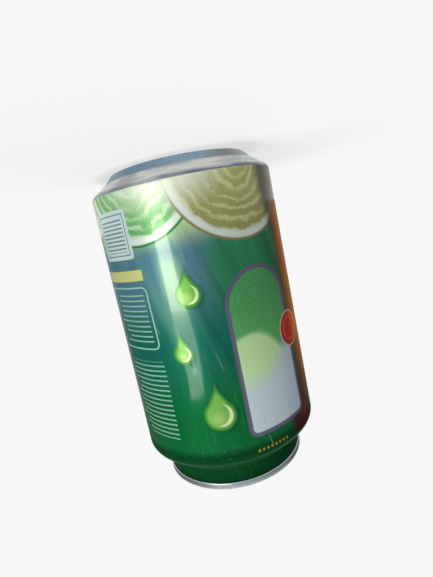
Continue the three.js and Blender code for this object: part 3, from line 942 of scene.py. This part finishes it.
def shaded_drop(paint, around, z, place):
    """A light green drop with a darker edge, a lit belly and a small crescent of shine."""
    centre_around, centre_z, radius, reach = place
    edge = drop(around, z, centre_around, centre_z, radius, reach)
    shadow = drop(around, z, centre_around - 0.8, centre_z + 0.6, radius, reach)
    paint.over(srgb(10, 70, 44), inside(shadow, 0.9) * 0.55)
    paint.over(srgb(52, 132, 50), inside(edge, 0.15))
    paint.over(srgb(112, 174, 82), edge.ramp(-0.2, -1.6))
    belly = disc(around, z, centre_around + radius * 0.15, centre_z + radius * 0.2, radius * 0.7)
    paint.over(srgb(160, 200, 116), belly.ramp(0, -radius * 0.7) * 0.8)
    shine = disc(around, z, centre_around - radius * 0.05, centre_z, radius * 0.72)
    cut = disc(around, z, centre_around + radius * 0.2, centre_z - radius * 0.1, radius * 0.75)
    paint.over(srgb(226, 242, 190), inside(shine, 0.2) * inside(cut, 0.2).inverse() * 0.8)


def print_ground(tree, u, z):
    """Graded fields with faint slanting rays: blue-grey by the base, then teal, then deep green."""
    paint = Paint(tree, srgb(172, 200, 150))
    paint.over(srgb(80, 122, 142), z.ramp(20, 30))
    paint.over(srgb(44, 128, 84), u.ramp(2, -8) * u.ramp(-40, -30) * z.ramp(22, 32))
    # Painted highlight: a pale cream band where the strip lamps' highlight falls, which tints that
    # highlight cream
    paint.over(srgb(128, 164, 122), (u - 9).abs().ramp(6, 2) * z.ramp(27, 34) * 0.6)
    paint.over(srgb(18, 100, 88), z.ramp(36, 58))
    paint.over(srgb(3, 102, 50), z.ramp(58, 86))
    paint.over(srgb(3, 60, 27), z.ramp(95.5, 99))
    ray = noise(tree, (u * 0.16 + z * 0.05, z * 0.008, 2.0))
    paint.over(srgb(96, 160, 136), ray.ramp(0.52, 0.75) * z.ramp(90, 30) * 0.4)
    paint.over(srgb(10, 60, 56), ray.ramp(0.48, 0.3) * z.ramp(100, 60) * 0.35)
    return paint


def foot_discs(paint, tree, u, z):
    """Four rippled discs by the base, each over those before it."""
    for place, fill, glow, rim in (
        ((-44, 3, 17), srgb(112, 156, 104), srgb(166, 198, 148), srgb(40, 104, 56)),
        ((44, 7, 15), srgb(180, 184, 132), srgb(214, 218, 186), srgb(130, 140, 80)),
        ((17, 3, 23), srgb(120, 178, 118), srgb(188, 218, 182), srgb(28, 124, 62)),
        ((-18, 6, 24), srgb(158, 160, 100), srgb(200, 202, 152), srgb(130, 126, 72)),
    ):
        rippled_disc(paint, tree, u, z, place, fill, glow, rim)


def dark_field_and_shade(paint, u, z):
    """An olive field along the wall, print and painted shade on the side turned from the key lamp, with a
    dark red disc at its top.
    """
    edge = u - z.ramp(34, 12) * 4
    # Painted shade: the olive field darkens the side of the can turned from the key lamp
    paint.over(srgb(46, 40, 18), edge.ramp(-28, -34) * u.ramp(-51, -45) * z.ramp(113, 102) * 0.92)
    paint.over(srgb(72, 20, 18), disc(u, z, *DARK_DISC).ramp(1.5, -1.5) * 0.9)
    paint.over(srgb(124, 42, 34), disc(u, z, *DARK_DISC_GLOW).ramp(3, -2) * 0.6)


def arched_panel(paint, tree, u, z):
    """A panel of plain waves and fine dots, round at its base end; returns its shape."""
    arch = disc(u, z, PANEL_AROUND, PANEL_LOW + PANEL_HALF, PANEL_HALF)
    middle = (PANEL_LOW + PANEL_HALF + PANEL_HIGH) / 2
    square = block(u, z, PANEL_AROUND, middle, PANEL_HALF, PANEL_HIGH - middle, PANEL_CORNER)
    panel = square.least(arch)
    wave = (u * 0.19 + 1.4).math("SINE") * 4
    face = Paint(tree, srgb(44, 142, 78))
    face.over(srgb(122, 184, 118), (z + wave).ramp(44, 62))
    face.over(srgb(66, 150, 86), (z - wave * 1.3 + u * 0.3 - 60).ramp(0.8, -0.8) * 0.8)
    face.over(srgb(176, 212, 158), (z - wave + u * 0.5).ramp(56, 58) * z.ramp(52, 62))
    face.over(srgb(180, 196, 208), (z + wave * 0.8 - u * 0.4).ramp(74, 84))
    dots = (u * DOT_RATE).math("SINE") * (z * DOT_RATE).math("SINE")
    face.over(srgb(226, 242, 214), dots.ramp(0.3, 1) * z.ramp(84, 44) * 0.3)
    paint.over(face, inside(panel))
    paint.over(srgb(96, 96, 120), outline(panel, PANEL_BORDER))
    return panel


def round_badge(paint, u, z):
    badge = disc(u, z, *BADGE)
    paint.over(srgb(196, 188, 172), inside(badge))
    paint.over(srgb(176, 40, 36), inside(badge + 0.5))
    paint.over(srgb(206, 92, 74), outline(badge + 2.4, 0.5))


def lined_fields(paint, tree, u, z):
    """A pale label, a yellow bar, a lined box and ragged rules over it; returns the label's shape."""
    label = block(u, z, *LABEL)
    paint.over(srgb(170, 192, 196), inside(label))
    paint.over(srgb(84, 124, 124), outline(label + 1.4, 0.4))
    lines = ((z * (1 / LABEL_PITCH)).math("FRACT") - 0.5).abs().ramp(0.26, 0.16)
    paint.over(srgb(44, 80, 86), lines * inside(label + 2.4) * 0.75)
    paint.over(srgb(204, 209, 138), inside(block(u, z, *YELLOW_BAR)))
    pale = srgb(150, 204, 190)
    paint.over(pale, outline(block(u, z, *LINED_BOX), 0.5))
    row = z * (1 / RULE_PITCH)
    ends = noise(tree, (0, row.math("FLOOR"), 0), 0, scale=7.3) * 12 + u
    ruled = inside(block(u, z, *RULES)) * inside(ends - RULES_END, 0.3)
    boxed = inside(block(u, z, *BOX_LINES)) * inside(ends - BOX_LINES_END, 0.3)
    paint.over(pale, (row.math("FRACT") - 0.5).abs().ramp(0.2, 0.1) * ruled.most(boxed) * 0.8)
    return label


def print_paint(tree, around, z):
    """The print's colours, which repeat twice around, and where its inks cover the metal."""
    half_cell = math.pi * BODY_RADIUS / 2
    u = around.wrap(-half_cell, half_cell)
    paint = print_ground(tree, u, z)
    foot_discs(paint, tree, u, z)
    dark_field_and_shade(paint, u, z)
    # Painted highlight: a pale glare by the base, where the two discs meet
    paint.over(srgb(232, 240, 226), disc(u * PAINTED_GLARE_SQUEEZE, z, *PAINTED_GLARE).ramp(13, 0) * 0.85)
    panel = arched_panel(paint, tree, u, z)
    round_badge(paint, u, z)
    for place in DROPS:
        shaded_drop(paint, u, z, place)
    label = lined_fields(paint, tree, u, z)
    dashes = ((u * DASH_RATE).math("FRACT") - 0.5).abs().ramp(0.3, 0.2)
    paint.over(srgb(140, 132, 58), dashes * inside(block(u, z, *DASHES)))
    return paint, (inside(panel) * z.ramp(40, 80)).most(inside(label))


def bare_base(tree, around, place, dome):
    """The unprinted metal of the base: smudged and rubbed, bluer on the nose in painted reflection, dark
    along the print.
    """
    x, y, z = place
    wall = dome.inverse()
    nose = z.ramp(3.4, 2.6)
    metal = Paint(tree, srgb(222, 223, 217))
    smudge = noise(tree, (x * 0.07, y * 0.07, z * 0.5), 3, 0.5)
    metal.over(srgb(150, 158, 164), smudge.ramp(0.42, 0.66) * (dome * -0.4 + 0.6))
    rub = noise(tree, (x * 0.5, y * 0.5, z * 2.5), 3, 0.6)
    metal.over(srgb(236, 238, 236), rub.ramp(0.58, 0.66) * (dome * -0.35 + 0.5))
    # Painted shade: a grey patch on the outer ring and chamfer, from about 13 to 27 mm around
    metal.over(srgb(150, 152, 156), around.ramp(13, 18) * around.ramp(27, 21) * wall * 0.7)
    # Painted reflection: the nose's blue-grey, deeper blue and grey-olive patches stand for dark
    # surroundings mirrored in it
    metal.over(srgb(146, 172, 190), nose)
    metal.over(srgb(122, 150, 170), nose * around.ramp(-2, 20))
    metal.over(srgb(138, 142, 138), nose * around.ramp(-8, -22) * around.ramp(-38, -26))
    hem = z.ramp(PRINT_EDGE - 1.9, PRINT_EDGE - 0.4) * (smudge.ramp(0.3, 0.6) * 0.4 + 0.5)
    metal.over(srgb(88, 98, 122), hem * wall)
    metal.over(srgb(70, 92, 112), rub.ramp(0.5, 0.64) * nose * 0.35)
    return metal


def scratch_mask(tree, across, y, z, dome):
    """Fine scratches along the wall in patches, and nicks where the can is handled and knocked."""
    scuffs = noise(tree, (across * 0.9 + z * 0.25, z * 0.07 + y * dome * 0.07, 3.1), 5, 0.6)
    patches = noise(tree, (across * 0.05, z * 0.05, 8.0))
    nicks = noise(tree, (across * 1.1, z * 0.8 + y * dome * 0.8, 9.0), 3, 0.7)
    rubbed = z.ramp(13, 8.5) * 0.7 + z.ramp(94.5, 97) * z.ramp(101, 99) * 0.3 + 0.15
    scratches = scuffs.ramp(0.66, 0.70) * patches.ramp(0.5, 0.6)
    return scratches.most(nicks.ramp(0.64, 0.68) * rubbed)


def printed_metal():
    """Lacquered inks on metal: the clear inks stay a little metallic, the pale ones cover it."""
    material, tree, shader = new_material("printed_metal")
    x, y, z, coordinate = place_fields(tree)
    around = (y.math("ARCTAN2", x) + math.pi / 2).wrap(-math.pi, math.pi) * BODY_RADIUS
    dome = (x.square() + y.square()).root().ramp(BARE_DOME_RADIUS + 1, BARE_DOME_RADIUS)
    bare = z.ramp(PRINT_EDGE + PRINT_BLUR, PRINT_EDGE - PRINT_BLUR).most(dome)
    across = around * dome.inverse() + x * dome
    paint, opaque = print_paint(tree, around, z)
    streaks = noise(tree, (across * 2.2, z * 0.05, 0), 4)
    paint.over(srgb(200, 215, 205), streaks.ramp(0.55, 0.9) * 0.08)
    paint.over(srgb(10, 30, 26), streaks.ramp(0.5, 0.2) * 0.15)
    paint.over(bare_base(tree, around, (x, y, z), dome), bare)
    scratches = scratch_mask(tree, across, y, z, dome)
    paint.over(srgb(205, 222, 214), scratches * 0.31)

    silvery = z.ramp(60, 25) * 0.1 + z.ramp(101, 96) * 0.34 + 0.04
    roughness = noise(tree, coordinate, 3, scale=90) * 0.12 + scratches * 0.2 + 0.34 - bare * 0.1
    coat = z.ramp(96, 99) * -NECK_DULLNESS + z.ramp(28, 8) * -FOOT_DULLNESS + COAT_SHARE
    waves = noise(tree, coordinate, scale=55) + streaks * 0.06
    inputs = {
        "Base Color": paint,
        "Metallic": (silvery * (opaque * -0.8 + 1)).most(bare),
        "Roughness": roughness,
        "Specular IOR Level": INK_SPECULAR,
        "Coat Weight": bare.inverse() * coat,
        "Coat IOR": COAT_IOR,
        "Coat Roughness": COAT_ROUGHNESS,
        "Normal": bump(tree, waves, 0.5, 0.12 * MM),
    }
    set_inputs(tree, shader, inputs)
    return material


def rolled_metal(name, colour, stain, roughness, traces, metallic):
    """Rolled aluminium: lines along the rolling direction, rub marks, and traces of dried drink."""
    material, tree, shader = new_material(name)
    x, y, z, coordinate = place_fields(tree)
    lines = noise(tree, (x * 0.25, y * 9, z * 2), 4, 0.6)
    rubs = noise(tree, (x * 0.8 + y * 0.5, y * 0.2, z * 0.6), 5, 0.6)
    patches = noise(tree, (x * 0.09, y * 0.09, z * 0.09), 3)
    marks = rubs.ramp(0.62, 0.68) * patches.ramp(0.48, 0.6)
    drips = noise(tree, (x * 0.13, y * 0.13, z * 0.06), 2, 0.4)
    ring = (drips - 0.62).abs().ramp(0.014, 0.0) * patches.ramp(0.4, 0.6) + drips.ramp(0.62, 0.66) * 0.3
    paint = Paint(tree, colour)
    paint.over(tuple(c * 0.72 for c in colour), lines.ramp(0.45, 0.75) * 0.5)
    paint.over(tuple(min(c * 1.15, 1) for c in colour), marks * 0.7)
    paint.over(stain, ring * traces)
    rough = lines * 0.12 + marks * 0.15 + ring * traces * 0.35 + (roughness - 0.06)
    grain = bump(tree, noise(tree, coordinate, scale=60) + lines * 0.12 + marks * 0.1, 0.4, 0.08 * MM)
    inputs = {"Base Color": paint, "Metallic": metallic, "Roughness": rough, "Normal": grain}
    set_inputs(tree, shader, inputs)
    return material


def make_camera():
    """The photograph's camera: close to the can, level with its lower part, and rolled nearly over."""
    level = np.array([[1, 0, 0], [0, 0, -1], [0, 1, 0]], float)
    cos, sin = math.cos(CAMERA_YAW), math.sin(CAMERA_YAW)
    turn = np.array([[cos, 0, sin], [0, 1, 0], [-sin, 0, cos]])
    cos, sin = math.cos(CAMERA_PITCH), math.sin(CAMERA_PITCH)
    tilt = np.array([[1, 0, 0], [0, cos, -sin], [0, sin, cos]])
    cos, sin = math.cos(CAMERA_ROLL), math.sin(CAMERA_ROLL)
    spin = np.array([[cos, -sin, 0], [sin, cos, 0], [0, 0, 1]])
    right, down, forward = spin @ tilt @ turn @ level
    camera_data = bpy.data.cameras.new("camera")
    camera_data.sensor_width = SENSOR_HEIGHT
    camera_data.lens = FOCAL_LENGTH
    camera_data.shift_x = (IMAGE_WIDTH / 2 - OPTICAL_AXIS_X) / IMAGE_HEIGHT
    camera_data.shift_y = -(IMAGE_HEIGHT / 2 - OPTICAL_AXIS_Y) / IMAGE_HEIGHT
    camera_data.clip_start = CLIP_START
    camera = bpy.data.objects.new("camera", camera_data)
    bpy.context.scene.collection.objects.link(camera)
    axes = np.column_stack([right, -down, -forward])
    place = Matrix.Translation((0, -CAMERA_DISTANCE, CAMERA_HEIGHT))
    camera.matrix_world = place @ Matrix(axes.tolist()).to_4x4()
    bpy.context.scene.camera = camera


def area_light(name, azimuth, elevation, distance, width, height, power, colour, in_glosses):
    """A lamp in a direction from the can's middle, which it faces; angles in degrees."""
    data = bpy.data.lights.new(name, "AREA")
    data.shape = "RECTANGLE"
    data.size = width
    data.size_y = height
    data.energy = power
    data.color = colour
    lamp = bpy.data.objects.new(name, data)
    bpy.context.scene.collection.objects.link(lamp)
    a, e = math.radians(azimuth), math.radians(elevation)
    target = Vector((0, 0, CAN_HEIGHT * MM / 2))
    direction = Vector((math.cos(e) * math.cos(a), math.cos(e) * math.sin(a), math.sin(e)))
    lamp.location = target + direction * distance
    lamp.rotation_euler = direction.to_track_quat("Z", "Y").to_euler()
    lamp.visible_glossy = in_glosses


def show_ground(tree, shader, seen, share):
    """The shader, under a share of the ground's colour for rays from the camera, a gloss or glass."""
    path = tree.nodes.new("ShaderNodeLightPath")
    kinds = "Is Camera Ray", "Is Glossy Ray", "Is Transmission Ray"
    camera, glossy, through = (Field(tree, path.outputs[kind]) for kind in kinds)
    ground = tree.nodes.new(seen)
    ground.inputs["Color"].default_value = (*srgb(*GROUND), 1)
    mix = tree.nodes.new("ShaderNodeMixShader")
    factor = camera.most(glossy).most(through) * share
    set_inputs(tree, mix, {0: factor, 1: shader.outputs[0], 2: ground.outputs[0]})
    return mix.outputs[0]


def make_world():
    """Soft white fill all round; rays that see it directly meet the picture's ground colour."""
    world = bpy.data.worlds.new("studio")
    bpy.context.scene.world = world
    world.use_nodes = True
    tree = world.node_tree
    plain = tree.nodes["Background"]
    set_inputs(tree, plain, {"Color": (*WHITE, 1), "Strength": FILL_STRENGTH})
    surface = show_ground(tree, plain, "ShaderNodeBackground", 1)
    set_inputs(tree, tree.nodes["World Output"], {"Surface": surface})


def make_floor():
    """A pale floor that keeps the can's soft shadow near it and blends into the ground farther out."""
    bpy.ops.mesh.primitive_circle_add(vertices=96, radius=FLOOR_RADIUS, fill_type="NGON")
    floor = bpy.context.object
    floor.name = "floor"
    material, tree, shader = new_material("floor")
    grey = (FLOOR_GREY, FLOOR_GREY, FLOOR_GREY, 1)
    set_inputs(tree, shader, {"Base Color": grey, "Roughness": 0.9, "Specular IOR Level": 0})
    x, y, _, _ = place_fields(tree)
    far = (x.square() + y.square()).root().ramp(25, 150)
    surface = show_ground(tree, shader, "ShaderNodeEmission", far * 0.3 + 0.7)
    set_inputs(tree, tree.nodes["Material Output"], {"Surface": surface})
    floor.data.materials.append(material)


def make_surround():
    """A dark card round the can, open at the top and warm at one side, that only glosses see."""
    angles = np.linspace(0, 2 * math.pi, 97)[:-1]
    ring = [(SURROUND_RADIUS * math.cos(a), SURROUND_RADIUS * math.sin(a)) for a in angles]
    points = [(x, y, z) for z in (0, SURROUND_HEIGHT) for x, y in ring]
    count = len(ring)
    faces = [(k, (k + 1) % count, (k + 1) % count + count, k + count) for k in range(count)]
    mesh = bpy.data.meshes.new("surround")
    mesh.from_pydata(points, [], faces)
    material, tree, shader = new_material("surround")
    x, y, z, _ = place_fields(tree)
    azimuth = y.math("ARCTAN2", x) * (180 / math.pi)
    colour = Paint(tree, (0.07, 0.078, 0.08))
    colour.over((0.13, 0.15, 0.16), azimuth.ramp(-20, -80))
    colour.over((0.32, 0.35, 0.35), azimuth.ramp(35, 64) * azimuth.ramp(110, 76) * z.ramp(580, 400))
    colour.over((0.5, 0.52, 0.54), azimuth.ramp(64, 80) * azimuth.ramp(116, 100) * z.ramp(150, 450))
    colour.over((0.38, 0.43, 0.45), azimuth.ramp(-140, -105) * azimuth.ramp(-30, -70) * z.ramp(620, 700))
    colour.over((0.7, 0.27, 0.08), azimuth.ramp(104, 122) * azimuth.ramp(162, 138) * z.ramp(620, 300))
    glow = tree.nodes.new("ShaderNodeEmission")
    set_inputs(tree, glow, {"Color": colour})
    set_inputs(tree, tree.nodes["Material Output"], {"Surface": glow.outputs[0]})
    mesh.materials.append(material)
    card = bpy.data.objects.new("surround", mesh)
    bpy.context.scene.collection.objects.link(card)
    card.visible_camera = False
    card.visible_diffuse = False
    card.visible_shadow = False


make_camera()
make_world()
make_floor()
make_surround()
for lamp in LAMPS:
    area_light(*lamp)

lacquer = rolled_metal("inside_lacquer", srgb(186, 182, 170), srgb(120, 92, 50), 0.38, 0.5, 0.6)
make_body(printed_metal(), lacquer)
make_end(rolled_metal("end_metal", srgb(214, 222, 227), srgb(140, 118, 82), 0.32, 0.35, 0.94))
make_tab(rolled_metal("tab_metal", srgb(218, 222, 225), srgb(140, 118, 82), 0.26, 0.25, 0.92))

bpy.context.scene.view_settings.view_transform = "Standard"
